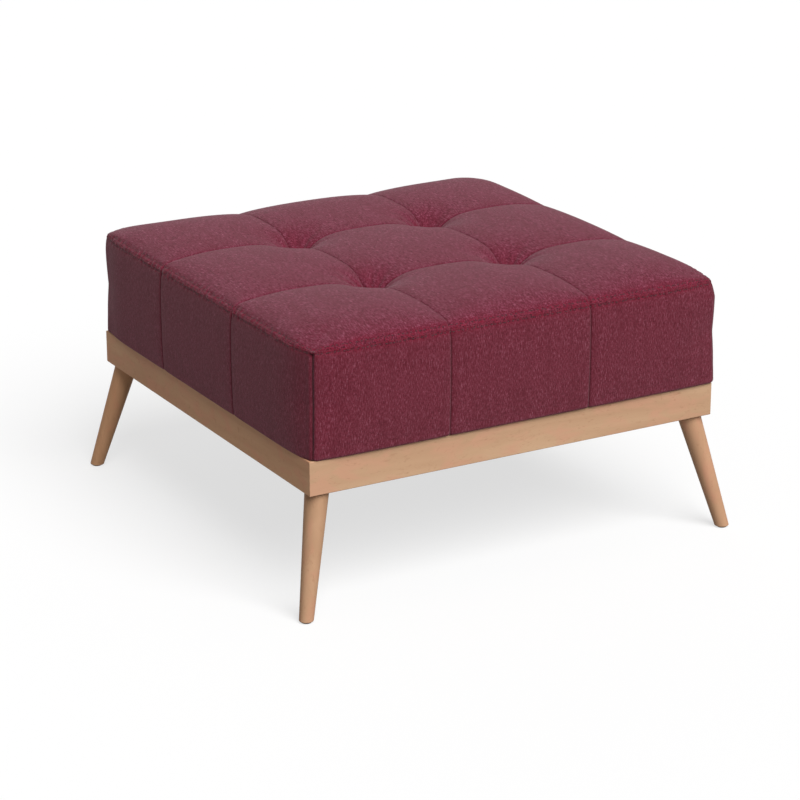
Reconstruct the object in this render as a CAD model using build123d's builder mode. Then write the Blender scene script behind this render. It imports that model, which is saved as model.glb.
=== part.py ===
from build123d import *
from math import exp, hypot
import os

os.makedirs("parts", exist_ok=True)

# Upholstered square ottoman on a mitred wooden frame with four splayed, tapered legs.
# Millimetres. The origin is on the floor under the middle of the seat, +Z is up, and the
# front is the side that faces -Y.

# Clearances and the one overrun that every cut shares
fit_gap = 0.1
cloth_gap = 0.3
cut_over = 15.0

# Wooden frame
seat_side = 700.0
floor_to_rail = 182.5
rail_height = 53.0
rail_thickness = 18.0
rail_edge_round = 1.6
biscuit_length = 42.0
biscuit_width = 15.0
biscuit_thickness = 4.0
block_reach = 70.0
block_end_depth = 25.0
batten_width = 24.0
batten_height = 20.0

# Legs and their fittings
leg_inset = 24.5
foot_splay = 18.0
leg_top_radius = 18.0
leg_foot_radius = 10.7
foot_round = 1.5
glide_radius = 8.0
glide_height = 2.0
glide_dish = 0.6
nail_radius = 1.0
nail_length = 14.0
bolt_radius = 4.0
bolt_in_leg = 40.0
bolt_in_block = 36.0
bolt_waist_radius = 3.1
bolt_waist = 8.0
insert_radius = 5.5
insert_length = 22.0

# Wood screws: shank radius, head radius, head height, and each length
screw_radius = 2.0
screw_head_radius = 4.0
screw_head_height = 2.6
screw_tip = 4.0
block_screw_length = 42.0
block_screw_along = 55.0
block_screw_head_depth = 30.0
block_screw_rise = 13.0
counterbore_radius = 5.0
batten_screw_length = 34.0
batten_screw_spacing = 200.0
box_screw_length = 50.0
box_screw_spacing = 300.0
box_screw_inset = 26.0
corner_screw_length = 52.0
corner_screw_spacing = 24.0
deck_screw_length = 40.0
deck_screw_spacing = 160.0

# Seat box inside the upholstery
box_inset = 12.0
box_board_thickness = 21.0
box_height = 88.0
deck_thickness = 12.0

# Upholstery
fabric_thickness = 1.5
hem_width = 30.0
edge_height = 163.0
crown_height = 182.0
side_bulge = 10.0
corner_radius = 24.0
seam_offset = 120.5
panel_puff = 7.5
tuft_depth = 45.0
tuft_spread = 29.0
tuft_sharpness = 1.27
swell_sharpness = 2.5
rim_width = 105.0
rim_drop = 10.7
section_crown = 0.05
top_cover_lap = 25.0
twine_radius = 1.2
knot_radius = 3.5
knot_height = 5.0
tuft_hole_radius = 5.0
washer_radius = 14.0
washer_thickness = 2.0

# Staples and the dust cover
staple_crown = 10.0
staple_wire = 0.8
staple_leg = 7.0
hem_staples_per_side = 8
dust_staples_per_side = 6
hem_staple_inset = 17.0
dust_thickness = 0.8
dust_edge_gap = 1.0

# Places worked out from the sizes above
half = seat_side / 2
quarter_turn = 90.0
rail_bottom = floor_to_rail
rail_top = floor_to_rail + rail_height
rail_inner = half - rail_thickness
box_half = half - box_inset
box_inner = box_half - box_board_thickness
box_bottom = rail_top + fabric_thickness
deck_bottom = box_bottom + box_height
deck_top = deck_bottom + deck_thickness
batten_bottom = rail_top - batten_height
batten_half = rail_inner - block_reach
leg_axis_top = half - leg_inset
leg_axis_foot = half + foot_splay
side_names = ("front", "right", "back", "left")
corner_names = ("front_left", "front_right", "back_right", "back_left")


def write(piece, name):
    """Label a finished piece and write its STEP file."""
    piece.part.label = name
    export_step(piece.part, f"parts/{name}.step")


def write_turned(piece, names, suffix):
    """Write four copies of a piece, each turned a quarter further about the vertical."""
    for turn, place in enumerate(names):
        with BuildPart() as copy:
            add(piece.part, rotation=(0, 0, quarter_turn * turn))
        write(copy, f"{place}_{suffix}")


def screw_solid(length, gap=0):
    """A countersunk screw, its head's face at the origin and its point down -Z."""
    with BuildPart() as screw:
        with BuildSketch(Plane.XZ):
            with BuildLine():
                Polyline(
                    (0, 0),
                    (screw_head_radius + gap, 0),
                    (screw_radius + gap, -screw_head_height),
                    (screw_radius + gap, screw_tip - length),
                    (0, -length - gap),
                    close=True,
                )
            make_face()
        revolve(axis=Axis.Z)
    return screw.part


def staple_solid(gap=0):
    """A staple, its crown along X with its outer face at the origin, its legs up +Z."""
    with BuildPart() as staple:
        with BuildSketch(Plane.XZ):
            with Locations((0, staple_leg / 2)):
                Rectangle(staple_crown + 2 * gap, staple_leg + 2 * gap)
            with Locations((0, staple_leg / 2 + staple_wire + 2 * gap)):
                Rectangle(staple_crown - 2 * staple_wire - 2 * gap, staple_leg + 2 * gap, mode=Mode.SUBTRACT)
        extrude(amount=staple_wire / 2 + gap, both=True)
    return staple.part


def facing(point, direction):
    """The place of a screw whose head's face is at the point and which drives along direction."""
    back = tuple(-part for part in direction)
    return Plane(origin=point, z_dir=back).location


# Screws through the corner blocks into the front rail: two heights at each end
block_screw_places = [
    facing((side * (rail_inner - block_screw_along), -rail_inner + block_screw_head_depth, height), (0, -1, 0))
    for side in (-1, 1)
    for height in (rail_bottom + block_screw_rise, rail_top - block_screw_rise)
]
# Screws through the front batten into the front rail
batten_screw_places = [
    facing((step * batten_screw_spacing, -rail_inner + batten_width, rail_top - batten_height / 2), (0, -1, 0))
    for step in (-1, 0, 1)
]
# Screws up through the front batten into the seat box
box_screw_places = [
    facing((side * box_screw_spacing / 2, -half + box_screw_inset, batten_bottom), (0, 0, 1))
    for side in (-1, 1)
]
# Screws through the right board's face into the end of the front board
board_middle = box_half - box_board_thickness / 2
corner_screw_places = [
    facing((box_half, -board_middle, box_bottom + box_height / 2 + step * corner_screw_spacing), (-1, 0, 0))
    for step in (-1, 0, 1)
]
# The same screws seen from the front board, where they pass through its left end
through_screw_places = [
    facing((-board_middle, -box_half, box_bottom + box_height / 2 + step * corner_screw_spacing), (0, 1, 0))
    for step in (-1, 0, 1)
]
# Screws down through the deck into the front board
deck_screw_places = [
    facing((step * deck_screw_spacing, -board_middle, deck_top), (0, 0, -1))
    for step in (-1.5, -0.5, 0.5, 1.5)
]
block_screw = screw_solid(block_screw_length)
block_screw_bore = screw_solid(block_screw_length, fit_gap)
batten_screw = screw_solid(batten_screw_length)
batten_screw_bore = screw_solid(batten_screw_length, fit_gap)
box_screw = screw_solid(box_screw_length)
box_screw_bore = screw_solid(box_screw_length, fit_gap)
corner_screw = screw_solid(corner_screw_length)
corner_screw_bore = screw_solid(corner_screw_length, fit_gap)
deck_screw = screw_solid(deck_screw_length)
deck_screw_bore = screw_solid(deck_screw_length, fit_gap)

# Staples that hold the cover's hem under the front board, their crowns sunk in the cloth
hem_pitch = 2 * box_inner / hem_staples_per_side
hem_staple_places = [
    Location(((step + 0.5) * hem_pitch - box_inner, -half + hem_staple_inset, rail_top + cloth_gap))
    for step in range(hem_staples_per_side)
]
# Staples that hold the dust cover under the front batten
dust_pitch = 2 * batten_half / dust_staples_per_side
dust_bottom = batten_bottom - dust_thickness
dust_staple_places = [
    Location(((step + 0.5) * dust_pitch - batten_half, -rail_inner + batten_width / 2, dust_bottom - staple_wire))
    for step in range(dust_staples_per_side)
]
staple = staple_solid()
staple_bore = staple_solid(fit_gap)


def biscuit_solid(gap=0):
    """A flat oval of beech set upright across the mitre at the front left corner."""
    middle = half - rail_thickness / 2
    face = Plane(
        origin=(-middle, -middle, rail_bottom + rail_height / 2),
        x_dir=(1, -1, 0),
        z_dir=(1, 1, 0),
    )
    tip = biscuit_length / 2 + gap
    belly = biscuit_width / 2 + gap
    with BuildPart() as biscuit:
        with BuildSketch(face):
            with BuildLine():
                ThreePointArc((0, -tip), (belly, 0), (0, tip))
                ThreePointArc((0, tip), (-belly, 0), (0, -tip))
            make_face()
        extrude(amount=biscuit_thickness / 2 + gap, both=True)
    return biscuit.part


biscuit = biscuit_solid()
biscuit_slot = biscuit_solid(fit_gap)

# Front rail: its outer long edges are eased, and both ends are mitred
with BuildPart() as rail:
    with BuildSketch(Plane.YZ):
        with Locations((-half + rail_thickness / 2, rail_bottom + rail_height / 2)):
            Rectangle(rail_thickness, rail_height)
    extrude(amount=half, both=True)
    outer_edges = rail.edges().filter_by(Axis.X).group_by(Axis.Y)[0]
    fillet(outer_edges, radius=rail_edge_round)
    split(bisect_by=Plane(origin=(-half, -half, 0), z_dir=(1, -1, 0)), keep=Keep.TOP)
    split(bisect_by=Plane(origin=(half, -half, 0), z_dir=(-1, -1, 0)), keep=Keep.TOP)
    add(biscuit_slot, mode=Mode.SUBTRACT)
    add(biscuit_slot, rotation=(0, 0, quarter_turn), mode=Mode.SUBTRACT)
    with Locations(*block_screw_places):
        add(block_screw_bore, mode=Mode.SUBTRACT)
    with Locations(*batten_screw_places):
        add(batten_screw_bore, mode=Mode.SUBTRACT)
write_turned(rail, side_names, "rail")

# Biscuits glued in the four mitres
with BuildPart() as mitre_biscuits:
    with PolarLocations(0, 4):
        add(biscuit)
write(mitre_biscuits, "mitre_biscuits")

# The leg's axis leans out along the diagonal, and its plane sits where it meets the rail
leg_run = leg_axis_foot - leg_axis_top
leg_plane = Plane(
    origin=(-leg_axis_top, -leg_axis_top, rail_bottom),
    x_dir=(1, -1, 0),
    z_dir=(leg_run, leg_run, floor_to_rail),
)
leg_length = hypot(leg_run, leg_run, floor_to_rail)
leg_taper = (leg_top_radius - leg_foot_radius) / leg_length

# Corner block at the front left, glued and screwed into the angle of the rails
block_points = (
    (-rail_inner, -rail_inner),
    (-rail_inner + block_reach, -rail_inner),
    (-rail_inner + block_reach, -rail_inner + block_end_depth),
    (-rail_inner + block_end_depth, -rail_inner + block_reach),
    (-rail_inner, -rail_inner + block_reach),
)
with BuildPart() as block:
    with BuildSketch(Plane.XY.offset(rail_bottom)):
        with BuildLine():
            Polyline(*block_points, close=True)
        make_face()
    extrude(amount=rail_height)
    with BuildSketch(leg_plane.offset(-cut_over)):
        Circle(insert_radius + fit_gap)
    extrude(amount=cut_over + insert_length, mode=Mode.SUBTRACT)
    with BuildSketch(leg_plane):
        Circle(bolt_radius + fit_gap)
    extrude(amount=bolt_in_block + fit_gap, mode=Mode.SUBTRACT)
    for turn, end in ((0, -1), (-1, 1)):
        for height in (rail_bottom + block_screw_rise, rail_top - block_screw_rise):
            head = (end * (rail_inner - block_screw_along), -rail_inner + block_screw_head_depth, height)
            place = Rot(0, 0, quarter_turn * turn) * facing(head, (0, -1, 0))
            with Locations(place):
                add(block_screw_bore, mode=Mode.SUBTRACT)
                Cylinder(
                    counterbore_radius,
                    block_reach,
                    align=(Align.CENTER, Align.CENTER, Align.MIN),
                    mode=Mode.SUBTRACT,
                )
write_turned(block, corner_names, "corner_block")

with BuildPart() as corner_block_screws:
    with PolarLocations(0, 4):
        with Locations(*block_screw_places):
            add(block_screw)
write(corner_block_screws, "corner_block_screws")

# Front batten, screwed to the rail's inner face between the corner blocks
with BuildPart() as batten:
    with BuildSketch(Plane.YZ):
        with Locations((-rail_inner + batten_width / 2, rail_top - batten_height / 2)):
            Rectangle(batten_width, batten_height)
    extrude(amount=batten_half, both=True)
    with Locations(*batten_screw_places):
        add(batten_screw_bore, mode=Mode.SUBTRACT)
    with Locations(*box_screw_places):
        add(box_screw_bore, mode=Mode.SUBTRACT)
    with Locations(*dust_staple_places):
        add(staple_bore, mode=Mode.SUBTRACT)
write_turned(batten, side_names, "batten")

with BuildPart() as batten_screws:
    with PolarLocations(0, 4):
        with Locations(*batten_screw_places):
            add(batten_screw)
write(batten_screws, "batten_screws")

with BuildPart() as seat_box_screws:
    with PolarLocations(0, 4):
        with Locations(*box_screw_places):
            add(box_screw)
write(seat_box_screws, "seat_box_screws")

# Front left leg: a turned cone cut level at the rail and just above the floor
with BuildPart() as leg:
    with BuildSketch(leg_plane.offset(cut_over)):
        Circle(leg_top_radius + leg_taper * cut_over)
    with BuildSketch(leg_plane.offset(-leg_length - cut_over)):
        Circle(leg_foot_radius - leg_taper * cut_over)
    loft()
    split(bisect_by=Plane.XY.offset(rail_bottom), keep=Keep.BOTTOM)
    split(bisect_by=Plane.XY.offset(glide_height), keep=Keep.TOP)
    fillet(leg.edges().group_by(Axis.Z)[0], radius=foot_round)
    with BuildSketch(leg_plane.offset(cut_over)):
        Circle(bolt_radius + fit_gap)
    extrude(amount=-cut_over - bolt_in_leg - fit_gap, mode=Mode.SUBTRACT)
    foot_middle = leg_axis_foot - leg_run * glide_height / floor_to_rail
    with BuildSketch(Plane.XY.offset(glide_height)):
        with Locations((-foot_middle, -foot_middle)):
            Circle(nail_radius + fit_gap)
    extrude(amount=nail_length + fit_gap, mode=Mode.SUBTRACT)
write_turned(leg, corner_names, "leg")

# Hanger bolt: coarse thread in the leg, machine thread in the block, a bare waist between
with BuildPart() as bolt:
    with BuildSketch(leg_plane.offset(-bolt_in_leg)):
        Circle(bolt_radius)
    extrude(amount=bolt_in_leg - bolt_waist)
    with BuildSketch(leg_plane.offset(-bolt_waist)):
        Circle(bolt_waist_radius)
    extrude(amount=bolt_waist)
    with BuildSketch(leg_plane):
        Circle(bolt_radius)
    extrude(amount=bolt_in_block)
with BuildPart() as hanger_bolts:
    with PolarLocations(0, 4):
        add(bolt.part)
write(hanger_bolts, "hanger_bolts")

# Threaded insert pressed up into the block, level with the block's underside
with BuildPart() as insert:
    with BuildSketch(leg_plane.offset(-cut_over)):
        Circle(insert_radius)
        Circle(bolt_radius + fit_gap, mode=Mode.SUBTRACT)
    extrude(amount=cut_over + insert_length)
    split(bisect_by=Plane.XY.offset(rail_bottom), keep=Keep.TOP)
with BuildPart() as threaded_inserts:
    with PolarLocations(0, 4):
        add(insert.part)
write(threaded_inserts, "threaded_inserts")

# Nail-on glide under the foot
with BuildPart() as glide:
    with BuildSketch():
        with Locations((-foot_middle, -foot_middle)):
            Circle(glide_radius)
    extrude(amount=glide_height)
    chamfer(glide.edges().group_by(Axis.Z)[0], length=glide_dish)
    with BuildSketch(Plane.XY.offset(glide_height)):
        with Locations((-foot_middle, -foot_middle)):
            Circle(nail_radius)
    extrude(amount=nail_length)
write_turned(glide, corner_names, "glide")

# Front board of the seat box; each board's right end butts against the next one
with BuildPart() as board:
    with BuildSketch(Plane.XY.offset(box_bottom)):
        with Locations((-box_board_thickness / 2, -board_middle)):
            Rectangle(2 * box_half - box_board_thickness, box_board_thickness)
    extrude(amount=box_height)
    with Locations(*corner_screw_places, *through_screw_places):
        add(corner_screw_bore, mode=Mode.SUBTRACT)
    with Locations(*box_screw_places):
        add(box_screw_bore, mode=Mode.SUBTRACT)
    with Locations(*deck_screw_places):
        add(deck_screw_bore, mode=Mode.SUBTRACT)
    with Locations(*hem_staple_places):
        add(staple_bore, mode=Mode.SUBTRACT)
write_turned(board, side_names, "box_board")

with BuildPart() as box_corner_screws:
    with PolarLocations(0, 4):
        with Locations(*corner_screw_places):
            add(corner_screw)
write(box_corner_screws, "box_corner_screws")

# Plywood deck with a hole for each tuft's twine
with BuildPart() as deck:
    with BuildSketch(Plane.XY.offset(deck_bottom)):
        Rectangle(2 * box_half, 2 * box_half)
        with GridLocations(2 * seam_offset, 2 * seam_offset, 2, 2):
            Circle(tuft_hole_radius, mode=Mode.SUBTRACT)
    extrude(amount=deck_thickness)
    with PolarLocations(0, 4):
        with Locations(*deck_screw_places):
            add(deck_screw_bore, mode=Mode.SUBTRACT)
write(deck, "deck")

with BuildPart() as deck_screws:
    with PolarLocations(0, 4):
        with Locations(*deck_screw_places):
            add(deck_screw)
write(deck_screws, "deck_screws")

# Profile of the upholstered side, from the rail up: height as a share of the sewn edge's
# height, and reach beyond the rail's face as a share of the side's bulge
side_profile_shares = (
    (0.0, 0.0),
    (0.018, 0.55),
    (0.055, 0.9),
    (0.37, 1.0),
    (0.67, 1.0),
    (0.86, 0.9),
    (0.95, 0.7),
    (1.0, 0.4),
    (1.03, 0.0),
    (1.065, -0.6),
    (1.095, -1.4),
    (1.123, -2.6),
    (1.18, -5.4),
)
# Section places across a middle panel and an outer panel, as shares of the panel's half
# width and of its width: they crowd towards the tufts
middle_row_shares = (-1, -0.94, -0.87, -0.77, -0.62, -0.36, 0, 0.36, 0.62, 0.77, 0.87, 0.94, 1)
outer_row_shares = (0, 0.03, 0.07, 0.13, 0.22, 0.35, 0.5, 0.65, 0.8, 0.9, 1)
# Where the arcs of one section meet, as shares of the same two widths
middle_arc_shares = (-1, -0.62, 0.62, 1)
outer_arc_shares = (0, 0.2, 0.75, 1)
top_reach = half + cut_over
outer_panel = top_reach - seam_offset


def swell(place):
    """How full the cushion is across one panel: nothing at a seam, one at the middle."""
    place = abs(place)
    if place < seam_offset:
        away = place / seam_offset
    else:
        edge = half + side_bulge
        away = min(abs(2 * place - edge - seam_offset) / (edge - seam_offset), 1)
    return 1 - away**swell_sharpness


def rim_fall(place):
    """How far the top has dropped near the outer edge."""
    into_rim = max(abs(place) - half + rim_width - side_bulge / 2, 0) / rim_width
    return rim_drop * into_rim**2


def top_height(x, y):
    """Height of the cushion's top: crowned panels between seams, pulled down at the tufts."""
    from_tuft = hypot(abs(x) - seam_offset, abs(y) - seam_offset)
    pull = tuft_depth * exp(-((from_tuft / tuft_spread) ** tuft_sharpness))
    puff = panel_puff * swell(x) * swell(y)
    return rail_top + crown_height + puff - pull - rim_fall(x) - rim_fall(y)


def cushion_form(inset):
    """The whole cushion's form, drawn in all round by inset, with a little crown on every arc."""
    with BuildPart() as sides:
        top = side_profile_shares[-1][0] * edge_height
        shrink = (top - 2 * inset) / top
        for height_share, reach_share in side_profile_shares:
            height = rail_top + inset + height_share * edge_height * shrink
            width = seat_side + 2 * (reach_share * side_bulge - inset)
            with BuildSketch(Plane.XY.offset(height)):
                RectangleRounded(width, width, corner_radius - inset)
        loft()

    rows = (
        [-seam_offset - share * outer_panel for share in reversed(outer_row_shares)],
        [share * seam_offset for share in middle_row_shares],
        [seam_offset + share * outer_panel for share in outer_row_shares],
    )
    corners = [-seam_offset - share * outer_panel for share in reversed(outer_arc_shares)]
    corners += [share * seam_offset for share in middle_arc_shares[1:-1]]
    corners += [seam_offset + share * outer_panel for share in outer_arc_shares]
    low = rail_top - cut_over
    row_solids = []
    for row in rows:
        with BuildPart() as row_top:
            for y in row:
                with BuildSketch(Plane.XZ.offset(-y)):
                    with BuildLine():
                        for left, right in zip(corners, corners[1:]):
                            middle = (left + right) / 2
                            middle_height = top_height(middle, y) - inset + section_crown
                            ThreePointArc(
                                (left, top_height(left, y) - inset),
                                (middle, middle_height),
                                (right, top_height(right, y) - inset),
                            )
                        Polyline(
                            (top_reach, top_height(top_reach, y) - inset),
                            (top_reach, low),
                            (-top_reach, low),
                            (-top_reach, top_height(-top_reach, y) - inset),
                        )
                    make_face()
            loft()
        row_solids.append(row_top.part)

    with BuildPart() as form:
        for row_solid in row_solids:
            add(row_solid)
        add(sides.part, mode=Mode.INTERSECT)
    return form.part


outer_form = cushion_form(0)
lining_form = cushion_form(fabric_thickness)
foam_form = cushion_form(fabric_thickness + cloth_gap)

# The space that the seat box fills, and the column that the foam block fills above it
with BuildPart() as box_space:
    with BuildSketch(Plane.XY.offset(rail_top - cut_over)):
        Rectangle(2 * box_half, 2 * box_half)
    extrude(amount=cut_over + deck_top - rail_top)

# A twine runs from a knot under the deck up to the underside of the cover at its tuft
tuft_point = top_height(seam_offset, seam_offset) - fabric_thickness
knot_bottom = deck_bottom - washer_thickness - knot_height
with BuildPart() as twine:
    with BuildSketch(Plane.XY.offset(knot_bottom)):
        with Locations((-seam_offset, -seam_offset)):
            Circle(knot_radius)
    extrude(amount=knot_height)
    fillet(twine.edges().filter_by(GeomType.CIRCLE), radius=knot_height / 3)
    with BuildSketch(Plane.XY.offset(knot_bottom + knot_height / 2)):
        with Locations((-seam_offset, -seam_offset)):
            Circle(twine_radius)
    extrude(amount=tuft_point - knot_bottom - knot_height / 2 - fit_gap)
write_turned(twine, corner_names, "tuft_twine")

with BuildPart() as washer:
    with BuildSketch(Plane.XY.offset(deck_bottom - washer_thickness)):
        with Locations((-seam_offset, -seam_offset)):
            Circle(washer_radius)
            Circle(twine_radius + fit_gap, mode=Mode.SUBTRACT)
    extrude(amount=washer_thickness)
with BuildPart() as tuft_washers:
    with PolarLocations(0, 4):
        add(washer.part)
write(tuft_washers, "tuft_washers")

# Channels for the twines through the foam
with BuildPart() as twine_channels:
    with BuildSketch(Plane.XY.offset(deck_top - cut_over)):
        with GridLocations(2 * seam_offset, 2 * seam_offset, 2, 2):
            Circle(twine_radius + fit_gap)
    extrude(amount=tuft_point - deck_top + cut_over + fabric_thickness / 2)

# Foam block on the deck, out over the side foam
with BuildPart() as foam_block:
    add(foam_form)
    split(bisect_by=Plane.XY.offset(deck_top), keep=Keep.TOP)
    add(twine_channels.part, mode=Mode.SUBTRACT)
write(foam_block, "foam_block")

# The quarter of the plan that belongs to the front side
with BuildPart() as front_quarter:
    with BuildSketch(Plane.XY.offset(rail_top - cut_over)):
        with BuildLine():
            Polyline((0, 0), (-top_reach, -top_reach), (top_reach, -top_reach), close=True)
        make_face()
    extrude(amount=2 * cut_over + edge_height + side_bulge)

# Foam on the outside of each board, mitred at the corners
with BuildPart() as side_foam:
    add(foam_form)
    split(bisect_by=Plane.XY.offset(deck_top), keep=Keep.BOTTOM)
    add(box_space.part, mode=Mode.SUBTRACT)
    add(front_quarter.part, mode=Mode.INTERSECT)
write_turned(side_foam, side_names, "side_foam")

# The part of the cover that is sewn from the nine top panels
sewn_edge = rail_top + edge_height
with BuildPart() as top_zone:
    with BuildSketch(Plane.XY.offset(sewn_edge)):
        Rectangle(2 * top_reach, 2 * top_reach)
    extrude(amount=crown_height)
    with BuildSketch(Plane.XY.offset(deck_top)):
        Rectangle(seat_side - 2 * top_cover_lap, seat_side - 2 * top_cover_lap)
    extrude(amount=crown_height)

# The sewn cover as a whole: a thin skin with a hem turned in under the seat box
with BuildPart() as cover:
    add(outer_form)
    add(lining_form, mode=Mode.SUBTRACT)
    with BuildSketch(Plane.XY.offset(rail_top - cut_over)):
        Rectangle(seat_side - 2 * hem_width, seat_side - 2 * hem_width)
    extrude(amount=cut_over + box_height, mode=Mode.SUBTRACT)

with BuildPart() as top_cover:
    add(cover.part)
    add(top_zone.part, mode=Mode.INTERSECT)
write(top_cover, "top_cover")

with BuildPart() as side_cover:
    add(cover.part)
    add(top_zone.part, mode=Mode.SUBTRACT)
    add(front_quarter.part, mode=Mode.INTERSECT)
    with Locations(*hem_staple_places):
        add(staple_bore, mode=Mode.SUBTRACT)
    with Locations(*box_screw_places):
        add(box_screw_bore, mode=Mode.SUBTRACT)
write_turned(side_cover, side_names, "side_cover")

with BuildPart() as hem_staples:
    with PolarLocations(0, 4):
        with Locations(*hem_staple_places):
            add(staple)
write(hem_staples, "hem_staples")

# Dust cover under the battens, cut away round the corner blocks
with BuildSketch() as block_outline:
    with BuildLine():
        Polyline(*block_points, close=True)
    make_face()
    offset(amount=dust_edge_gap)
with BuildPart() as dust_cover:
    with BuildSketch(Plane.XY.offset(dust_bottom)):
        Rectangle(2 * (rail_inner - dust_edge_gap), 2 * (rail_inner - dust_edge_gap))
        with PolarLocations(0, 4):
            add(block_outline.sketch, mode=Mode.SUBTRACT)
    extrude(amount=dust_thickness)
    with PolarLocations(0, 4):
        with Locations(*dust_staple_places):
            add(staple_bore, mode=Mode.SUBTRACT)
write(dust_cover, "dust_cover")

with BuildPart() as dust_staples:
    with PolarLocations(0, 4):
        with Locations(*dust_staple_places):
            add(staple)
write(dust_staples, "dust_staples")
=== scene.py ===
from math import cos, pi, radians, sin

import bpy
import numpy as np
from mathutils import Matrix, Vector


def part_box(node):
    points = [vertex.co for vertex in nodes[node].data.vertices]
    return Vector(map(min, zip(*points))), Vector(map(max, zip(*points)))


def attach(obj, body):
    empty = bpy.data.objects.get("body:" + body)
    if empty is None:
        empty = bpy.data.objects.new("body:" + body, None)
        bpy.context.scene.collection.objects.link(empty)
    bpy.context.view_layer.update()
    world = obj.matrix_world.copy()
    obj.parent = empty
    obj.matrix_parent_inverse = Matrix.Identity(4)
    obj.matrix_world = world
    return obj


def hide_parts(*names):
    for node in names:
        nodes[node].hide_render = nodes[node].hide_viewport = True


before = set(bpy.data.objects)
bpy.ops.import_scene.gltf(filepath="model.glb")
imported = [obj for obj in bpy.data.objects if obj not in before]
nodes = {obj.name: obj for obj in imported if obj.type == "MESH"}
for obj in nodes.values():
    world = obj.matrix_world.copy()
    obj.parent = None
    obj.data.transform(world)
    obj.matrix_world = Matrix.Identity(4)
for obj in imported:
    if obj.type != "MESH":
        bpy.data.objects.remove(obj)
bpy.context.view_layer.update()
scene = bpy.context.scene

# The camera.
# It stands where the photograph was taken from: off the ottoman's front left corner, at eye height and
# well back, behind a long lens.
camera_azimuth = radians(-29.941)
camera_height = radians(19.425)
camera_distance = 4.3435
aim_aside = -0.00054
aim_height = 0.16092
backward = Vector((
    sin(camera_azimuth) * cos(camera_height),
    -cos(camera_azimuth) * cos(camera_height),
    sin(camera_height),
))
rightward = Vector((cos(camera_azimuth), sin(camera_azimuth), 0))
lens = bpy.data.cameras.new("camera")
lens.lens = 122.99
lens.sensor_width = 36
lens.clip_start = 0.1
lens.clip_end = 100


def aimed(name, data, place, backward):
    """A camera or a lamp at a place, with its back to one direction."""
    thing = bpy.data.objects.new(name, data)
    thing.location = place
    thing.rotation_mode = "QUATERNION"
    thing.rotation_quaternion = (-backward).to_track_quat("-Z", "Y")
    scene.collection.objects.link(thing)
    return thing


camera_place = rightward * aim_aside + Vector((0, 0, aim_height)) + backward * camera_distance
scene.camera = aimed("camera", lens, camera_place, backward)

# The studio.
# A white floor runs out to a white room. One very broad, soft light comes over the front from high up. The
# floor, the room and a weak, low light from behind fill the sides that are turned away from it.
scene.view_settings.view_transform = "Standard"
floor_reach = 14
floor_gives = 0.34
floor_matt = 0.285
floor_glow = 0.684
room_light = 0.19
sun_distance = 4
bpy.ops.mesh.primitive_plane_add(size=2 * floor_reach)
floor = bpy.context.object
floor.name = "floor"


def set_plain(node, **plain):
    """Puts plain values on a node's inputs, with an underline for each space in a name."""
    for name, value in plain.items():
        node.inputs[name.replace("_", " ")].default_value = value
    return node


def new_node(tree, kind, **plain):
    """A new shader node with plain values on its inputs."""
    return set_plain(tree.nodes.new("ShaderNode" + kind), **plain)


def combined(tree, operation, first, second):
    """Two values put together; the second may be a plain number."""
    step = new_node(tree, "Math")
    step.operation = operation
    tree.links.new(first, step.inputs[0])
    if isinstance(second, (int, float)):
        step.inputs[1].default_value = second
    else:
        tree.links.new(second, step.inputs[1])
    return step.outputs["Value"]


def seen_directly(tree):
    """One for rays from the camera or by way of gloss or glass, nothing for light on its way about."""
    path = new_node(tree, "LightPath")
    seen = combined(tree, "MAXIMUM", path.outputs["Is Camera Ray"], path.outputs["Is Glossy Ray"])
    return combined(tree, "MAXIMUM", seen, path.outputs["Is Transmission Ray"])


def chosen_by_ray(tree, for_light, for_eye, output_name):
    """Gives one shader to light on its way about and another to what is seen directly."""
    choose = new_node(tree, "MixShader")
    tree.links.new(seen_directly(tree), choose.inputs["Fac"])
    tree.links.new(for_light, choose.inputs[1])
    tree.links.new(for_eye, choose.inputs[2])
    tree.links.new(choose.outputs["Shader"], tree.nodes[output_name].inputs["Surface"])


def soft_sun(name, comes_from, energy, spread):
    """A lamp far away in one direction, softened by its spread in degrees."""
    sun_data = bpy.data.lights.new(name, "SUN")
    sun_data.energy = energy
    sun_data.angle = radians(spread)
    aimed(name, sun_data, comes_from * sun_distance, comes_from)


floor_paint = bpy.data.materials.new("floor_paint")
floor_paint.use_nodes = True
tree = floor_paint.node_tree
tree.nodes.remove(tree.nodes["Principled BSDF"])
giving = new_node(tree, "BsdfDiffuse", Color=(floor_gives, floor_gives, floor_gives, 1))
matt = new_node(tree, "BsdfDiffuse", Color=(floor_matt, floor_matt, floor_matt, 1))
glow = new_node(tree, "Emission", Strength=floor_glow)
shown = new_node(tree, "AddShader")
tree.links.new(matt.outputs["BSDF"], shown.inputs[0])
tree.links.new(glow.outputs["Emission"], shown.inputs[1])
chosen_by_ray(tree, giving.outputs["BSDF"], shown.outputs["Shader"], "Material Output")
floor.data.materials.append(floor_paint)

room = bpy.data.worlds.new("room")
room.use_nodes = True
scene.world = room
tree = room.node_tree
ambient = set_plain(tree.nodes["Background"], Color=(1, 1, 1, 1), Strength=room_light)
white = new_node(tree, "Background", Color=(1, 1, 1, 1), Strength=1)
chosen_by_ray(tree, ambient.outputs["Background"], white.outputs["Background"], "World Output")

soft_sun("soft_lamp", Vector((0.045, -0.638, 0.769)), energy=3.66, spread=48)
soft_sun("back_fill", Vector((0.3, 0.93, 0.15)), energy=0.52, spread=60)

# The rails.
# Four planed beech boards, mitred at the corners with their outer edges eased, and finished with a satin
# lacquer that leaves the pale pink-brown of the wood and its short darker flecks to be seen.
side_names = ("front", "right", "back", "left")
corner_names = ("front_left", "front_right", "back_right", "back_left")


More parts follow.
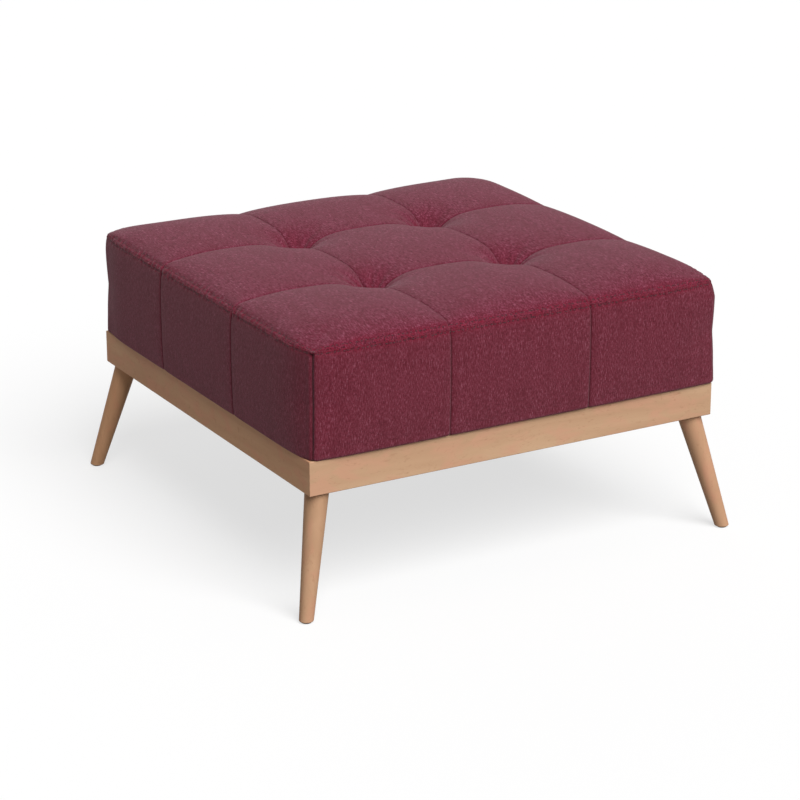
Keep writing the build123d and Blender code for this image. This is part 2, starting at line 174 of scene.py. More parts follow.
def tone(red, green, blue):
    """A colour as it is seen on a screen, from 0 to 255, as the light that a finish gives back."""
    shares = np.array((red, green, blue)) / 255
    light = np.where(shares > 0.04045, ((shares + 0.055) / 1.055) ** 2.4, shares / 12.92)
    return (*light.tolist(), 1)


def new_finish(name, roughness, **plain):
    """A new finish, as its material, its node tree and its shader."""
    material = bpy.data.materials.new(name)
    material.use_nodes = True
    tree = material.node_tree
    return material, tree, set_plain(tree.nodes["Principled BSDF"], Roughness=roughness, **plain)


def drawn_out(axis, share, others=1.0):
    """A stretch that draws a pattern out along one axis, longer with a smaller share."""
    stretch = [others, others, others]
    stretch[axis] = share
    return stretch


def piece_place(tree, stretch=(1, 1, 1), turned=0.0):
    """The place on the piece, in metres, turned about the upright axis and stretched."""
    place = new_node(tree, "TexCoord")
    mapping = new_node(tree, "Mapping", Scale=stretch, Rotation=(0, 0, turned))
    tree.links.new(place.outputs["Object"], mapping.inputs["Vector"])
    return mapping.outputs["Vector"]


def mottle(tree, per_metre, detail=2.0, distortion=0.0, stretch=(1, 1, 1)):
    """Soft random patches, so many to the metre, drawn out along the axes with a small stretch."""
    noise = new_node(tree, "TexNoise", Scale=per_metre, Detail=detail, Distortion=distortion)
    tree.links.new(piece_place(tree, stretch), noise.inputs["Vector"])
    return noise.outputs["Fac"]


def graded(tree, value, stops):
    """The colour that belongs to a value, from stops of place and colour."""
    ramp = new_node(tree, "ValToRGB")
    elements = ramp.color_ramp.elements
    while len(elements) < len(stops):
        elements.new(0.5)
    for element, (place, colour) in zip(elements, stops):
        element.position = place
        element.color = colour
    tree.links.new(value, ramp.inputs["Fac"])
    return ramp.outputs["Color"]


def amount(tree, value, low, high, least=0.0, most=1.0):
    """A value spread from low..high to least..most, and held there."""
    spread = new_node(tree, "MapRange", From_Min=low, From_Max=high, To_Min=least, To_Max=most)
    tree.links.new(value, spread.inputs["Value"])
    return spread.outputs["Result"]


def laid_over(tree, under, over, share):
    """One colour over another, by a share that is a value of its own; over may be a plain colour."""
    mix = new_node(tree, "Mix")
    mix.data_type = "RGBA"
    tree.links.new(share, mix.inputs["Factor"])
    tree.links.new(under, mix.inputs[6])
    if isinstance(over, tuple):
        mix.inputs[7].default_value = over
    else:
        tree.links.new(over, mix.inputs[7])
    return mix.outputs[2]


def raised(tree, shader, height, depth, strength=1.0):
    """Gives the finish a relief, depth metres from lowest to highest."""
    bump = new_node(tree, "Bump", Distance=depth, Strength=strength)
    tree.links.new(height, bump.inputs["Height"])
    tree.links.new(bump.outputs["Normal"], shader.inputs["Normal"])


def wood(name, pale, deep, fleck, grain_axis, roughness, fleck_share=0.5, relief=0.00004):
    """Wood with its grain along one axis (0, 1 or 2): broad figure, fine fibre and short flecks."""
    material, tree, shader = new_finish(name, roughness, Specular_IOR_Level=0.03)
    along = drawn_out(grain_axis, 0.09)
    middle = [(p + d) / 2 for p, d in zip(pale, deep)]
    figure = mottle(tree, 34, 3, 0.9, along)
    colour = graded(tree, figure, ((0.3, tone(*pale)), (0.52, tone(*middle)), (0.74, tone(*deep))))
    clouds = mottle(tree, 9, 2, 0.4, along)
    colour = laid_over(tree, colour, tone(*deep), amount(tree, clouds, 0.5, 0.75, 0, 0.4))
    patch_along = drawn_out(grain_axis, 0.45)
    warm = mottle(tree, 42, 2, 0.6, patch_along)
    rosy = tone(pale[0], deep[1] + 4, deep[2] + 8)
    colour = laid_over(tree, colour, rosy, amount(tree, warm, 0.5, 0.66, 0, 0.6))
    smudges = mottle(tree, 95, 3, 2.5, patch_along)
    colour = laid_over(tree, colour, tone(*fleck), amount(tree, smudges, 0.6, 0.8, 0, 0.4))
    flecks = mottle(tree, 230, 1.5, 1.2, drawn_out(grain_axis, 0.26))
    colour = laid_over(tree, colour, tone(*fleck), amount(tree, flecks, 0.66, 0.84, 0, fleck_share))
    fibre = mottle(tree, 1100, 2, 0.0, drawn_out(grain_axis, 0.03))
    colour = laid_over(tree, colour, tone(*deep), amount(tree, fibre, 0.45, 0.7, 0, 0.2))
    tree.links.new(colour, shader.inputs["Base Color"])
    raised(tree, shader, fibre, relief)
    return material


def dress(names, finish):
    """Gives the named pieces of the frame their finish."""
    for name in names:
        piece = nodes[name]
        piece.data.materials.clear()
        piece.data.materials.append(finish)


satin_lacquer = 0.42
front_boards = ((204, 168, 135), (188, 149, 118), (160, 112, 82))
# The rails along y are warmer and darker in green and blue: painted shade, the warm cast the left rail shows
# in its shade.
shade_warmed_boards = ((206, 161, 124), (190, 142, 108), (162, 106, 75))
rail_finish = [
    wood("beech_rail_along_x", *front_boards, 0, satin_lacquer),
    wood("beech_rail_along_y", *shade_warmed_boards, 1, satin_lacquer),
]
for turn, side in enumerate(side_names):
    dress([f"{side}_rail"], rail_finish[turn % 2])

# The legs.
# Turned from solid beech as long cones, splayed outwards, with the same lacquer. Each foot is eased and
# carries a nailed plastic glide; a hanger bolt in the top screws into a brass insert in the corner block.
# Each leg is the same beech, set lighter or darker to make up for how light falls on it: painted light on the
# back left and front right legs, painted shade on the front left one.
leg_shades_with_painted_light = {
    "front_left": ((190, 151, 120), (172, 134, 104), (150, 108, 80)),
    "front_right": ((198, 156, 124), (180, 139, 108), (156, 112, 83)),
    "back_right": ((194, 153, 121), (176, 136, 105), (152, 109, 81)),
    "back_left": ((208, 160, 123), (190, 143, 107), (164, 115, 82)),
}
for corner, shades in leg_shades_with_painted_light.items():
    leg_finish = wood(f"{corner}_beech_leg", *shades, 2, satin_lacquer, fleck_share=0.3)
    dress([f"{corner}_leg"], leg_finish)


def two_toned(tree, shader, value, low, dark, high, pale):
    """Colours a finish by a value: dark up to low, pale from high, and blended between them."""
    colour = graded(tree, value, ((low, tone(*dark)), (high, tone(*pale))))
    tree.links.new(colour, shader.inputs["Base Color"])


glide_finish, tree, shader = new_finish("glide_plastic", 0.45)
two_toned(tree, shader, mottle(tree, 900, 3), 0.35, (92, 74, 60), 0.65, (108, 88, 72))
raised(tree, shader, mottle(tree, 2500, 2), 0.00005)
dress([f"{corner}_glide" for corner in corner_names], glide_finish)


def plated(name, bright, dull, roughness, scratch_axis=2):
    """Plated metal: a slightly clouded colour under fine marks left by the die."""
    material, tree, shader = new_finish(name, roughness, Metallic=1)
    two_toned(tree, shader, mottle(tree, 160, 3), 0.35, dull, 0.65, bright)
    raised(tree, shader, mottle(tree, 1800, 2, 0.0, drawn_out(scratch_axis, 0.1)), 0.00003)
    return material


zinc_bolt = plated("zinc_bolt", (196, 198, 204), (160, 163, 170), 0.34)
insert_brass = plated("insert_brass", (212, 178, 104), (176, 142, 78), 0.3)
dress(["hanger_bolts"], zinc_bolt)
dress(["threaded_inserts"], insert_brass)

# The corner blocks, battens and biscuits.
# Plain beech blocks are glued and screwed into the angles of the rails, pine battens run between them,
# and pressed beech biscuits tie the mitres. None of it is lacquered.
block_finish = wood("block_beech", (214, 182, 146), (198, 160, 122), (170, 124, 90), 2, 0.72, 0.4, 0.0001)
batten_shades = ((232, 206, 158), (214, 176, 120), (186, 140, 88))
batten_finish = [
    wood("batten_pine_along_" + "xy"[axis], *batten_shades, axis, 0.75, fleck_share=0.3, relief=0.00012)
    for axis in (0, 1)
]
biscuit_finish = wood("biscuit_beech", (206, 170, 130), (184, 146, 106), (150, 108, 74), 0, 0.8, 0.5, 0.0001)
dress([f"{corner}_corner_block" for corner in corner_names], block_finish)
dress(["mitre_biscuits"], biscuit_finish)
for turn, side in enumerate(side_names):
    dress([f"{side}_batten"], batten_finish[turn % 2])

# The seat box.
# Four pine boards butted and screwed at the corners, with a plywood deck screwed down on them. The box
# carries the foam and is screwed to the battens from below.
board_shades = ((236, 212, 166), (216, 180, 124), (190, 142, 90))
for turn, side in enumerate(side_names):
    board_finish = wood(f"{side}_board_pine", *board_shades, turn % 2, 0.78, fleck_share=0.3, relief=0.00015)
    dress([f"{side}_box_board"], board_finish)


def ribs(tree, direction, pitch, place, distortion=0.0, detail=2.0):
    """Even ribs across one direction. At a scale of one, 20 ribs fill two pi units."""
    wave = new_node(tree, "TexWave", Scale=2 * pi / (20 * pitch), Distortion=distortion, Detail=detail)
    wave.bands_direction = direction
    tree.links.new(place, wave.inputs["Vector"])
    return wave.outputs["Fac"]


ply_thickness = 0.0034
deck_finish, tree, shader = new_finish("deck_plywood", 0.7)
plies = ribs(tree, "Z", ply_thickness, piece_place(tree), 0.4)
figure = mottle(tree, 26, 4, 0.8, drawn_out(0, 0.1))
veneer = graded(tree, figure, ((0.3, tone(226, 196, 148)), (0.7, tone(204, 166, 116))))
veneer = laid_over(tree, veneer, tone(168, 126, 82), amount(tree, plies, 0.7, 1, 0, 0.5))
tree.links.new(veneer, shader.inputs["Base Color"])
raised(tree, shader, mottle(tree, 900, 2, 0.0, drawn_out(0, 0.05)), 0.0001)
dress(["deck"], deck_finish)

zinc_screw = plated("zinc_screw", (206, 204, 190), (168, 164, 148), 0.36)
screw_nodes = ("corner_block_screws", "batten_screws", "seat_box_screws", "box_corner_screws", "deck_screws")
dress(screw_nodes, zinc_screw)

# The foam.
# A block of firm foam lies on the deck and a strip is glued outside each board. Both are cut to the
# cushion's form: crowned panels between seams, pulled down at four tufts and rounded over at the rim.
rail_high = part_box("front_rail")[1]
seat_half = rail_high.x
rail_top = rail_high.z
deck_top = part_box("deck")[1].z
twine_low, twine_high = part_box("back_right_tuft_twine")
seam_offset = (twine_low.x + twine_high.x) / 2
crown_height = 0.182
edge_height = 0.163
side_bulge = 0.008
corner_radius = 0.010
panel_puff = 0.006
tuft_depth = 0.045
tuft_spread = 0.029
tuft_sharpness = 1.27
swell_sharpness = 2.5
rim_width = 0.105
rim_drop = 0.0107
rim_blend = 0.0012
back_drop = 0.0078
corner_draws = {
    (-1, -1): (0.0032, 0.0085, 0.0070, 0.0062, 0.0045, 0.0021, 0.005),
    (1, -1): (0.0010, 0.0060, 0.0039, 0.0067, 0.0038, 0.0, 0.0),
    (1, 1): (0.0040, 0.0080, 0.0060, 0.0040, 0.0025, -0.0005, 0.0),
    (-1, 1): (0.0055, 0.0105, 0.0078, 0.0072, 0.0030, -0.0005, 0.0),
}
corner_draw_heights = np.array((0, 0.5, 0.84, 1, 1.05, 1.12)) * edge_height
corner_rises = {(-1, 1): 0.0038, (1, -1): 0.0035, (1, 1): 0.0015}
corner_draw_width = 0.045
corner_twist_width = 0.02
back_corner = 0.024
back_ease = 0.075
back_scallop = 0.0062
back_scallop_width = 0.035
right_scallop = 0.0036
right_scallop_width = 0.055
side_profile_shares = (
    (0.0, 0.5),
    (0.012, 0.66),
    (0.03, 0.76),
    (0.18, 0.9),
    (0.37, 1.0),
    (0.67, 1.0),
    (0.86, 0.9),
    (0.95, 0.73),
    (1.0, 0.55),
    (1.03, 0.0),
    (1.065, -0.75),
    (1.095, -1.75),
    (1.123, -3.25),
    (1.18, -6.75),
)


def drawn_between(values, coarse, fine, axis):
    """Values that stand on coarse lines, drawn smoothly through to fine lines, along one axis."""
    place = np.interp(fine, coarse, np.arange(len(coarse)))
    last = len(coarse) - 1
    before = np.clip(place.astype(int), 0, last - 1)
    values = np.moveaxis(values, axis, 0)
    share = (place - before).reshape(-1, *[1] * (values.ndim - 1))
    a, b, c, d = (values[np.clip(before + step, 0, last)] for step in (-1, 0, 1, 2))
    drawn = b + 0.5 * share * (c - a + share * (2 * a - 5 * b + 4 * c - d + share * (3 * (b - c) + d - a)))
    return np.moveaxis(drawn, 0, axis)


def mirrored(half_lines):
    """Lines from the middle out, with the same lines on the other side."""
    return np.concatenate((-half_lines[:0:-1], half_lines))


def run_length(points):
    """How far along its own line each point lies."""
    steps = np.linalg.norm(np.diff(points, axis=0), axis=-1)
    return np.concatenate(([0.0], np.cumsum(steps)))


profile_knots = np.array(side_profile_shares) * (edge_height, side_bulge)
knot_lengths = run_length(profile_knots)
profile = drawn_between(profile_knots, knot_lengths, np.linspace(0, knot_lengths[-1], 900), 0)
profile_heights, profile_reaches = profile.T
profile_lengths = run_length(profile)
edge_row = float(np.interp(edge_height, profile_heights, profile_lengths))
edge_reach = float(np.interp(edge_height, profile_heights, profile_reaches))
edge_half = seat_half + edge_reach
over_edge = profile_heights > edge_height
rim_insets = np.concatenate(([0.0], edge_reach - profile_reaches[over_edge]))
rim_heights = np.concatenate(([edge_height], profile_heights[over_edge]))


def fading(distance, width, power=2):
    """A share that is one at no distance and fades over a width, more squarely at a higher power."""
    return np.exp(-((distance / width) ** power))


def to_seam(place):
    """How far a place lies from the nearer seam, along one axis."""
    return np.abs(np.abs(place) - seam_offset)


def swell(place):
    """How full the cushion is across one panel: nothing at a seam, one at the middle."""
    place = np.abs(place)
    outer = seat_half + side_bulge
    away_outer = np.minimum(np.abs(2 * place - outer - seam_offset) / (outer - seam_offset), 1)
    away = np.where(place < seam_offset, place / seam_offset, away_outer)
    return 1 - away**swell_sharpness


def into_rim(place):
    """How far out over the rim a place lies, from nothing at its inner edge to about one."""
    return np.maximum(np.abs(place) - seat_half + rim_width - side_bulge / 2, 0) / rim_width


def back_fall(x, y):
    """The back rim's further drop, which leaves its corners standing."""
    clear = np.clip((seat_half - back_corner - np.abs(x)) / back_ease, 0, 1)
    return np.where(y > 0, back_drop * into_rim(y) ** 2, 0) * clear**2 * (3 - 2 * clear)


def scallop(x, y):
    """The dip of the back and right rims where the seams run out over them."""
    back = back_scallop * np.where(y > 0, into_rim(y) ** 2, 0)
    right = right_scallop * np.where(x > 0, into_rim(x) ** 2, 0)
    along_back = fading(to_seam(x), back_scallop_width, 1)
    return back * along_back + right * fading(to_seam(y), right_scallop_width, 1.5)


def top_surface(x, y):
    """Height of the cushion's top above the floor, with its rim rounded over to the sewn edge."""
    pull = tuft_depth * fading(np.hypot(to_seam(x), to_seam(y)), tuft_spread, tuft_sharpness)
    crown = crown_height + panel_puff * swell(x) * swell(y) - pull
    crown -= rim_drop * (into_rim(x) ** 2 + into_rim(y) ** 2) + back_fall(x, y)
    for (sign_x, sign_y), rise in corner_rises.items():
        in_quarter = (x * sign_x > 0) & (y * sign_y > 0)
        crown += rise * np.where(in_quarter, (into_rim(x) * into_rim(y)) ** 3, 0)
    longer = np.maximum(np.abs(x), np.abs(y))
    shorter = np.minimum(np.abs(x), np.abs(y))
    in_corner = longer - shorter < corner_radius
    across = np.sqrt(np.maximum(2 * corner_radius**2 - (longer - shorter) ** 2, 0))
    half_width = np.where(in_corner, (longer + shorter - across) / 2 + corner_radius, longer)
    rim = np.interp(edge_half - half_width, rim_insets, rim_heights)
    return rail_top - rim_blend * np.log(np.exp(-crown / rim_blend) + np.exp(-rim / rim_blend))


def cushion_points(lines, rows):
    """Points of the cushion's form on the lines of its cloth: the top, then the sides from the front."""
    a, b = np.meshgrid(lines, lines, indexing="ij")
    start = edge_half - corner_radius
    into_a, into_b = (np.maximum(np.abs(c) - start, 0) / corner_radius for c in (a, b))
    spread = np.maximum(np.hypot(into_a, into_b), 1e-9)
    pull = np.where((into_a > 0) & (into_b > 0), np.maximum(into_a, into_b) / spread, 1)
    x = np.sign(a) * (np.minimum(np.abs(a), start) + corner_radius * into_a * pull)
    y = np.sign(b) * (np.minimum(np.abs(b), start) + corner_radius * into_b * pull)
    top = np.stack((x, y, top_surface(x, y)), axis=-1)

    heights = np.interp(rows, profile_lengths, profile_heights)
    reaches = np.interp(rows, profile_lengths, profile_reaches)
    inner = seat_half + reaches - corner_radius
    along = np.minimum(np.abs(lines), start)[:, None]
    outer_share = np.maximum(along - seam_offset, 0) / (start - seam_offset)
    straight = np.minimum(along, seam_offset) + outer_share * (inner - seam_offset)
    into = (np.maximum(np.abs(lines) - start, 0) / corner_radius)[:, None]
    front_x = np.sign(lines)[:, None] * (straight + corner_radius * into / np.hypot(into, 1))
    front_y = -(inner + corner_radius / np.hypot(into, 1))
    front_z = rail_top + heights + np.zeros_like(front_x)
    sides = []
    for _ in side_names:
        sides.append(np.stack((front_x, front_y, front_z), axis=-1))
        front_x, front_y = -front_y, front_x
    meet(top, sides)
    for grid in (top, *sides):
        draw_seams(grid)
    return top, sides


def draw_seams(grid):
    """Draws the form down at the rims' seams and in at its corners, each corner by its own amounts."""
    place_x, place_y, place_z = np.moveaxis(grid.copy(), -1, 0)
    grid[..., 2] -= scallop(place_x, place_y) * np.clip((place_z - rail_top) / edge_height, 0, 1) ** 2
    for (sign_x, sign_y), (*draws, twist) in corner_draws.items():
        away = np.hypot(place_x - sign_x * seat_half, place_y - sign_y * seat_half)
        pull = np.interp(place_z, rail_top + corner_draw_heights, draws) * fading(away, corner_draw_width)
        grid[..., 0] -= sign_x * pull - twist * fading(away, corner_twist_width)
        grid[..., 1] -= sign_y * pull


def rim_lines(top, inset):
    """The four lines of the top that lie so many lines in from its rim, from the front one round."""
    return top[:, inset], top[-1 - inset], top[::-1, -1 - inset], top[inset, ::-1]


def meet(top, sides):
    """Brings the pieces of the form together along the lines that they share."""
    for turn, side in enumerate(sides):
        beside = sides[(turn + 1) % 4]
        side[-1] = beside[0] = (side[-1] + beside[0]) / 2
    for side, rim_line in zip(sides, rim_lines(top, 0)):
        side[:, -1] = rim_line


def grid_faces(shape, first=0):
    """The quads of a grid of points, numbered from first."""
    index = first + np.arange(shape[0] * shape[1]).reshape(shape[:2])
    quads = (index[:-1, :-1], index[1:, :-1], index[1:, 1:], index[:-1, 1:])
    return np.stack(quads, axis=-1).reshape(-1, 4).tolist()


def new_piece(name, points, faces, finish):
    """A new piece on the frame, smooth all over."""
    mesh = bpy.data.meshes.new(name)
    mesh.from_pydata(np.asarray(points).reshape(-1, 3).tolist(), [], faces)
    mesh.shade_smooth()
    mesh.materials.append(finish)
    piece = bpy.data.objects.new(name, mesh)
    scene.collection.objects.link(piece)
    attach(piece, "root")
    return piece


def new_foam(name, points, faces, stands_for):
    """A new piece of foam in the place of one of the frame's."""
    piece = new_piece(name, points, faces, foam_finish)
    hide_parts(stands_for)
    return piece


foam_finish, tree, shader = new_finish("foam", 0.95)
cells = new_node(tree, "TexVoronoi", Scale=900)
tree.links.new(piece_place(tree), cells.inputs["Vector"])
two_toned(tree, shader, cells.outputs["Distance"], 0.1, (206, 186, 128), 0.6, (238, 226, 184))
raised(tree, shader, cells.outputs["Distance"], 0.0004)

foam_inset = 0.0075
tuft_squeeze = 0.007
squeeze_reach = 0.032
foam_pitch = 0.011
strip_least = 0.001
glue_gap = 0.0002
outer_panel = edge_half - seam_offset
foam_lines = mirrored(np.concatenate((
    np.linspace(0, seam_offset, round(seam_offset / foam_pitch)),
    np.linspace(seam_offset, edge_half - corner_radius, round(outer_panel / foam_pitch))[1:],
    edge_half - corner_radius + corner_radius * np.array((0.25, 0.5, 0.75, 1)),
)))
deck_row = float(np.interp(deck_top - rail_top, profile_heights, profile_lengths))
block_rows = np.linspace(deck_row, edge_row, 8)
strip_rows = np.linspace(0, deck_row, 11)


def inside_cover(grid, low, high):
    """A grid's points, moved in by the foam's inset and more at a tuft, and held between two heights."""
    drawn = grid.copy()
    from_tuft = np.hypot(to_seam(grid[..., 0]), to_seam(grid[..., 1]))
    drawn[..., 2] -= tuft_squeeze * fading(from_tuft, squeeze_reach)
    drawn[..., :2] *= 1 - foam_inset / edge_half
    drawn[..., 2] = np.clip(drawn[..., 2] - foam_inset * (grid[..., 2] > deck_top), low, high)
    return drawn


foam_top, foam_sides = cushion_points(foam_lines, block_rows)
block_points = []
block_faces = []
for grid in (foam_top, *foam_sides):
    block_faces += grid_faces(grid.shape, sum(map(len, block_points)))
    block_points.append(inside_cover(grid, deck_top, 1).reshape(-1, 3))
bottom_ring = []
first = foam_top.shape[0] ** 2
for side in foam_sides:
    bottom_ring += [first + step * len(block_rows) for step in range(len(foam_lines) - 1)]
    first += side.shape[0] * side.shape[1]
block_faces.append(bottom_ring[::-1])
foam_block = new_foam("foam_block_cut", np.concatenate(block_points), block_faces, "foam_block")
weld = foam_block.modifiers.new("glued", "WELD")
weld.merge_threshold = 0.00002

foam_sides = cushion_points(foam_lines, strip_rows)[1]
board_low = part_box("front_box_board")[0]
board_face = -board_low.y
for side_name, side in zip(side_names, foam_sides):
    outer = inside_cover(side, board_low.z, deck_top)
    widest = np.abs(outer[..., :2]).max(axis=-1, keepdims=True)
    outer[..., :2] *= np.maximum(1, (board_face + strip_least) / widest)
    inner = outer.copy()
    inner[..., :2] = np.clip(outer[..., :2], -board_face - glue_gap, board_face + glue_gap)
    points = np.concatenate((outer.reshape(-1, 3), inner.reshape(-1, 3)))
    count = outer.shape[0] * outer.shape[1]
    index = np.arange(count).reshape(outer.shape[:2])
    faces = grid_faces(outer.shape) + [face[::-1] for face in grid_faces(outer.shape, count)]
    rim = np.concatenate((index[:, 0], index[-1, 1:], index[-2::-1, -1], index[0, -2:0:-1]))
    for here, there in zip(rim, np.roll(rim, -1)):
        faces.append((int(there), int(here), int(here) + count, int(there) + count))
    new_foam(f"{side_name}_side_foam_strip", points, faces, f"{side_name}_side_foam")

# The cover's form.
# The wine-red cover is sewn from nine top panels and twelve side panels and drawn tight over the foam.
# The cloth swells a little between its seams, which hold it along every line where panels meet.
swell_cap = 0.004
side_swell = 0.45
swell_pressure = 4
swell_frames = 20
swell_pitch = 0.0095
swell_lines = mirrored(np.concatenate((
    np.linspace(0, seam_offset, round(seam_offset / swell_pitch) + 1),
    np.linspace(seam_offset, edge_half, round(outer_panel / swell_pitch) + 1)[1:],
)))
swell_rows = np.linspace(0, edge_row, round(edge_row / swell_pitch) + 1)
start_top, start_sides = cushion_points(swell_lines, swell_rows)
start_grids = [start_top, *start_sides]


def held_by_seams(shape, rows_too):
    """True where a seam, the sewn edge or the hem holds the cloth."""
    on_seam = np.isclose(np.abs(swell_lines), seam_offset) | np.isclose(np.abs(swell_lines), edge_half)
    held = np.zeros(shape[:2], bool)
    held[on_seam] = True
    held[:, [0, -1] if rows_too else on_seam] = True
    return held


def swollen(grids):
    """The cloth after pressure from inside has filled it, as the move of each point of each grid."""
    points = np.concatenate([grid.reshape(-1, 3) for grid in grids])
    held = np.concatenate([held_by_seams(grid.shape, turn > 0).ravel() for turn, grid in enumerate(grids)])
    joined, index = np.unique(np.round(points, 5), axis=0, return_inverse=True)
    index = index.ravel()
    faces = []
    first = 0
    for grid in grids:
        faces += index[np.array(grid_faces(grid.shape, first))].tolist()
        first += grid.shape[0] * grid.shape[1]
    mesh = bpy.data.meshes.new("cloth_under_pressure")
    mesh.from_pydata(joined.tolist(), [], faces)
    cloth = bpy.data.objects.new("cloth_under_pressure", mesh)
    scene.collection.objects.link(cloth)
    pins = cloth.vertex_groups.new(name="seams")
    pins.add(np.unique(index[held]).tolist(), 1.0, "REPLACE")
    physics = cloth.modifiers.new("cloth", "CLOTH")
    weave = physics.settings
    weave.quality = 6
    weave.mass = 0.3
    weave.tension_stiffness = weave.compression_stiffness = 12
    weave.shear_stiffness = 6
    weave.bending_stiffness = 0.6
    weave.vertex_group_mass = "seams"
    weave.use_pressure = True
    weave.uniform_pressure_force = swell_pressure
    weave.effector_weights.gravity = 0
    physics.collision_settings.use_collision = False
    physics.point_cache.frame_end = swell_frames
    for step in range(1, swell_frames + 1):
        scene.frame_set(step)
    settled = cloth.evaluated_get(bpy.context.evaluated_depsgraph_get()).to_mesh()
    move = np.zeros(joined.size)
    settled.vertices.foreach_get("co", move)
    move = move.reshape(-1, 3) - joined
    bpy.data.objects.remove(cloth)
    scene.frame_set(1)
    far = np.linalg.norm(move, axis=-1, keepdims=True)
    move *= swell_cap * np.tanh(far / swell_cap) / np.maximum(far, 1e-9)
    cuts = np.cumsum([grid.shape[0] * grid.shape[1] for grid in grids])[:-1]
    return [part.reshape(grid.shape) for part, grid in zip(np.split(move[index], cuts), grids)]


swell_moves = swollen(start_grids)

# The cover's cloth.
# The same form again with close lines at the seams: each seam is a narrow groove where the turned edges
# of two panels meet, small pleats run out from the tufts, and the topstitched sewn edge is puckered.
line_pitch = 0.0027
seam_steps = np.array((0.6, 1.3, 2.2, 3.4, 5.0, 7.0, 9.2, 11.6, 14.2, 17.0, 19.7, 22.4, 25.1)) / 1000
edge_steps = np.array((0.7, 1.6, 3.0, 4.6, 6.2, 7.9, 9.8, 12.1, 14.6, 17.3)) / 1000
stitch_offset = 0.0046
inner_stop = seam_offset - seam_steps[-1]
outer_start = seam_offset + seam_steps[-1]
outer_stop = edge_half - edge_steps[-1]
cloth_lines = mirrored(np.concatenate((
    np.linspace(0, inner_stop, round(inner_stop / line_pitch))[:-1],
    seam_offset - seam_steps[::-1],
    (seam_offset,),
    seam_offset + seam_steps,
    np.linspace(outer_start, outer_stop, round((outer_stop - outer_start) / line_pitch))[1:-1],
    edge_half - edge_steps[::-1],
    (edge_half,),
)))
hem_steps = np.array((0, 0.0012, 0.0028, 0.005, 0.008, 0.012))
row_stop = edge_row - edge_steps[-1]
cloth_rows = np.concatenate((
    hem_steps,
    np.linspace(hem_steps[-1], row_stop, round((row_stop - hem_steps[-1]) / line_pitch))[1:-1],
    edge_row - edge_steps[::-1],
    (edge_row,),
))
cover_top, cover_sides = cushion_points(cloth_lines, cloth_rows)


def outward(grid):
    """The direction that faces out of a grid at each point."""
    normal = np.cross(np.gradient(grid, axis=0), np.gradient(grid, axis=1))
    return normal / np.maximum(np.linalg.norm(normal, axis=-1, keepdims=True), 1e-12)


top_move, *side_moves = (drawn_between(move, swell_lines, cloth_lines, 0) for move in swell_moves)
cover_top += drawn_between(top_move, swell_lines, cloth_lines, 1)
for side, move in zip(cover_sides, side_moves):
    side += drawn_between(side_swell * move, swell_rows, cloth_rows, 1)
meet(cover_top, cover_sides)

seam_depth = 0.0015
seam_width = 0.0014
valley_depth = 0.0005
valley_width = 0.009
corner_seam_depth = 0.0065
corner_seam_width = 0.0032
edge_seam_depth = 0.0007
edge_seam_width = 0.0016
hem_fades = 0.03
edge_fades = 0.009
pucker_depth = 0.0005
pucker_width = 0.009
pucker_clear = 0.032
stitch_pitch = 0.0076
stitch_from_corner = 0.006
stitch_row_depth = 0.0007
stitch_row_width = 0.002
dimple_depth = 0.0010
dimple_width = 0.0019
pleat_depth = 0.0011
pleat_reach = 0.013
pleat_count = 12
fine_pleat_depth = 0.0006
fine_pleat_count = 27
pucker_count = 22
draw = np.random.default_rng(7)
pucker_waves = [
    (draw.uniform(0.007, 0.018), draw.uniform(0, pi), draw.uniform(0, 2 * pi))
    for _ in range(pucker_count)
]
stitch_count = int(2 * (edge_half - stitch_from_corner) / stitch_pitch)
stitch_places = (np.arange(stitch_count) - (stitch_count - 1) / 2) * stitch_pitch
stitch_places += draw.uniform(-0.0021, 0.0021, stitch_count)
edge_run = np.arange(-edge_half, edge_half, 0.0002)
nearest_stitch = np.abs(edge_run[:, None] - stitch_places).argmin(axis=1)
to_stitch = np.abs(edge_run - stitch_places[nearest_stitch])
stitch_pull = draw.uniform(0.1, 1.5, stitch_count)[nearest_stitch]
stitch_aside = draw.uniform(-0.0009, 0.0009, stitch_count)[nearest_stitch]


def groove(distance):
    """Depth of a plain seam at a distance from it: a narrow fold in a shallow valley."""
    return seam_depth * fading(distance, seam_width, 1.3) + valley_depth * fading(distance, valley_width, 1.5)


def puckers(along, across):
    """Uneven bumps of the cloth along the sewn edge, from about -1 to 1."""
    bumps = np.zeros_like(along + across)
    for size, angle, phase in pucker_waves:
        bumps += np.sin(2 * pi / size * (along * cos(angle) + across * sin(angle)) + phase)
    return bumps / 4


def at_stitches(across, along):
    """How near the cloth is to a stitch of the sewn edge, as a share."""
    from_row = (np.abs(across) - stitch_offset - np.interp(along, edge_run, stitch_aside)) / dimple_width
    from_stitch = np.interp(along, edge_run, to_stitch) / dimple_width
    return np.interp(along, edge_run, stitch_pull) * np.exp(-(from_row**2) - from_stitch**2)


def edge_relief(across, along):
    """Depth of the sewn edge's relief: its seam, both stitch rows with their dimples, and the puckers."""
    clear = np.clip((edge_half - np.abs(along)) / pucker_clear, 0, 1)
    window = fading(across, pucker_width, 4) * clear
    seam = edge_seam_depth * fading(np.abs(across), edge_seam_width, 1.4)
    row = stitch_row_depth * fading(np.abs(across) - stitch_offset, stitch_row_width)
    dimples = dimple_depth * (0.3 + 0.7 * clear) * at_stitches(across, along)
    return seam + row + dimples - pucker_depth * window * puckers(along, across)


